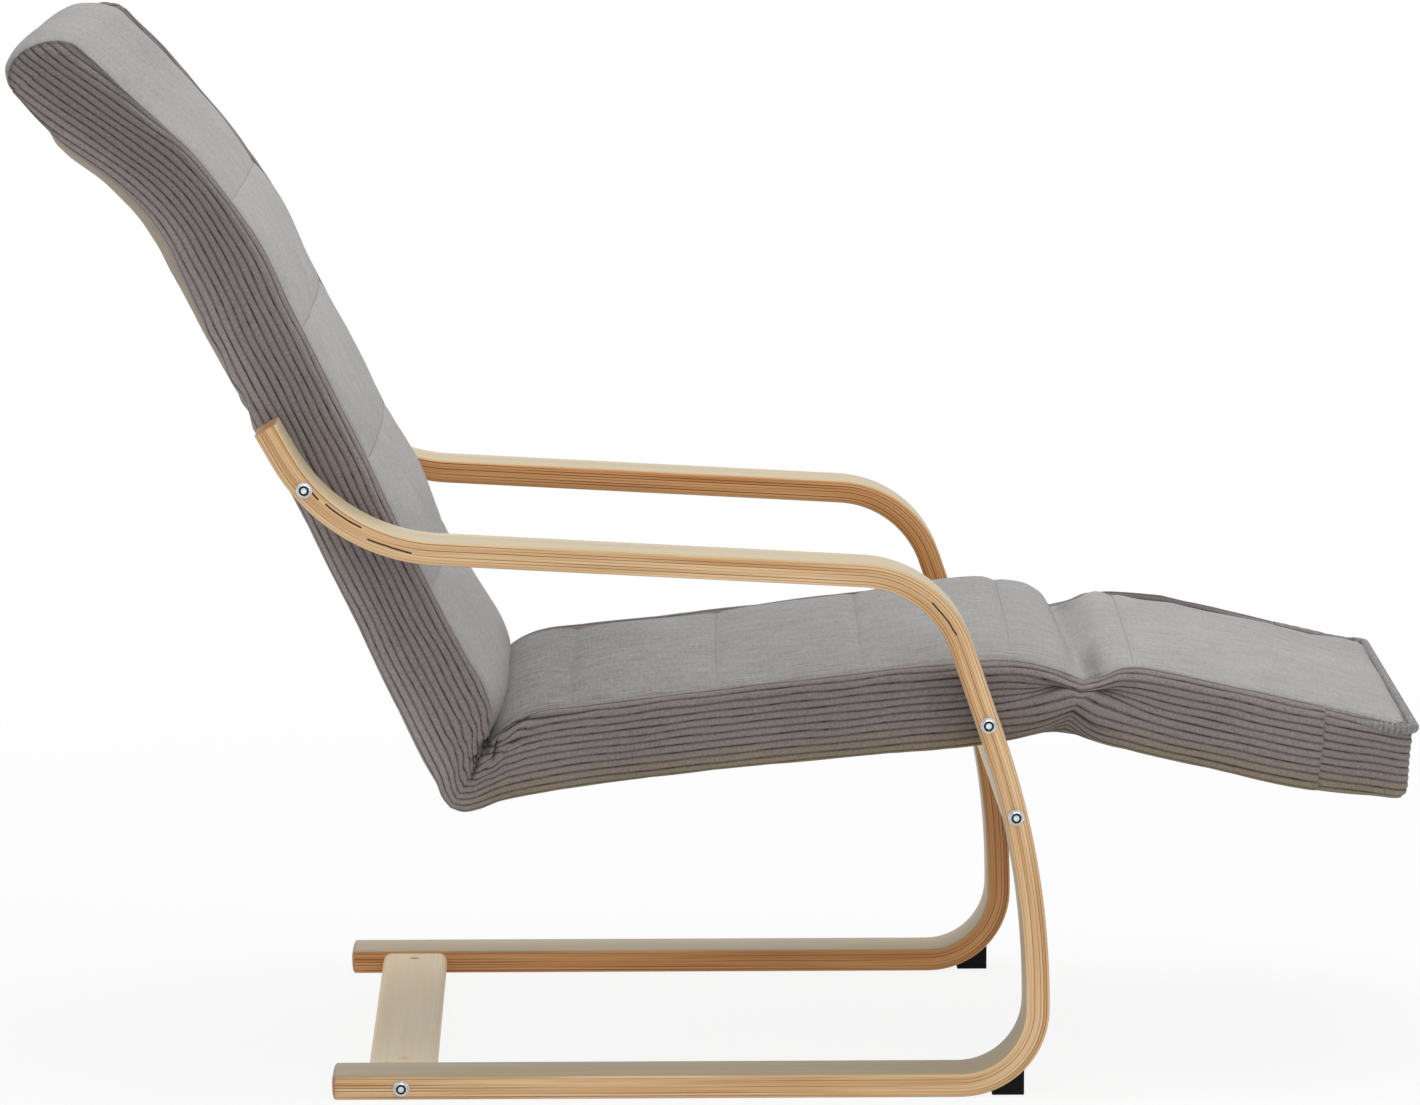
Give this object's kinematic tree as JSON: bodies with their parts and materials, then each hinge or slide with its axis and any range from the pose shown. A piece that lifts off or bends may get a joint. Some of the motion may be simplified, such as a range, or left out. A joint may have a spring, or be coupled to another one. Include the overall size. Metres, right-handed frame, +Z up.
{
  "type": "bentwood lounge recliner",
  "caption": "Bentwood cantilever lounge chair with C-shaped side frames, a reclined channelled corduroy cushion and a hinged footrest that swings down in front.",
  "frame": {"origin": "middle of the footprint of the whole chair, on the floor", "axes": "+X towards the footrest, +Y towards the sitter's left, +Z up"},
  "size_m": [1.4048, 0.6774, 1.0775],
  "materials": {
    "birch_ply": "clear satin lacquer",
    "birch_veneer": "clear satin lacquer",
    "corduroy": "wide-rib pile",
    "lining": "plain weave",
    "webbing": "woven elastic",
    "black_steel": "powder coat",
    "zinc": "zinc plated",
    "foot": "matte"
  },
  "bodies": {
    "frame": {"back_bolt_left": "zinc", "back_bolt_right": "zinc", "back_cushion": "corduroy", "back_lining": "lining", "back_rail": "black_steel", "back_sleeve_left": "black_steel", "back_sleeve_right": "black_steel", "back_strap_1": "webbing", "back_strap_2": "webbing", "back_strap_3": "webbing", "back_strap_4": "webbing", "back_washer_left": "zinc", "back_washer_right": "zinc", "crossbar_bolt_left": "zinc", "crossbar_bolt_right": "zinc", "crossbar_nut_left": "zinc", "crossbar_nut_right": "zinc", "crossbar_washer_left": "zinc", "crossbar_washer_right": "zinc", "front_crossbar": "birch_veneer", "front_foot_left": "foot", "front_foot_right": "foot", "head_rail": "black_steel", "hinge_fixed_plate_left": "black_steel", "hinge_fixed_plate_right": "black_steel", "hinge_pin_left": "zinc", "hinge_pin_right": "zinc", "hinge_spring_washer_left": "zinc", "hinge_spring_washer_right": "zinc", "rear_stretcher": "birch_veneer", "seat_bolt_left": "zinc", "seat_bolt_right": "zinc", "seat_cushion": "corduroy", "seat_front_rail": "black_steel", "seat_lining": "lining", "seat_rear_rail": "black_steel", "seat_sleeve_left": "black_steel", "seat_sleeve_right": "black_steel", "seat_strap_1": "webbing", "seat_strap_2": "webbing", "seat_washer_left": "zinc", "seat_washer_right": "zinc", "side_frame_left": "birch_ply", "side_frame_right": "birch_ply", "side_tube_left": "black_steel", "side_tube_right": "black_steel", "stretcher_bolt_left": "zinc", "stretcher_bolt_right": "zinc", "stretcher_nut_left": "zinc", "stretcher_nut_right": "zinc", "stretcher_washer_left": "zinc", "stretcher_washer_right": "zinc"},
    "footrest": {"footrest_cushion": "corduroy", "footrest_lining": "lining", "footrest_strap_1": "webbing", "footrest_strap_2": "webbing", "footrest_tube": "black_steel", "hinge_moving_plate_left": "black_steel", "hinge_moving_plate_right": "black_steel"}
  },
  "joints": [
    {"name": "footrest_hinge", "type": "hinge", "parent": "frame", "child": "footrest", "pos_m": [0.35212, 0, 0.38839], "axis": [0, 1, 0], "range_deg": [0, 64]}
  ]
}
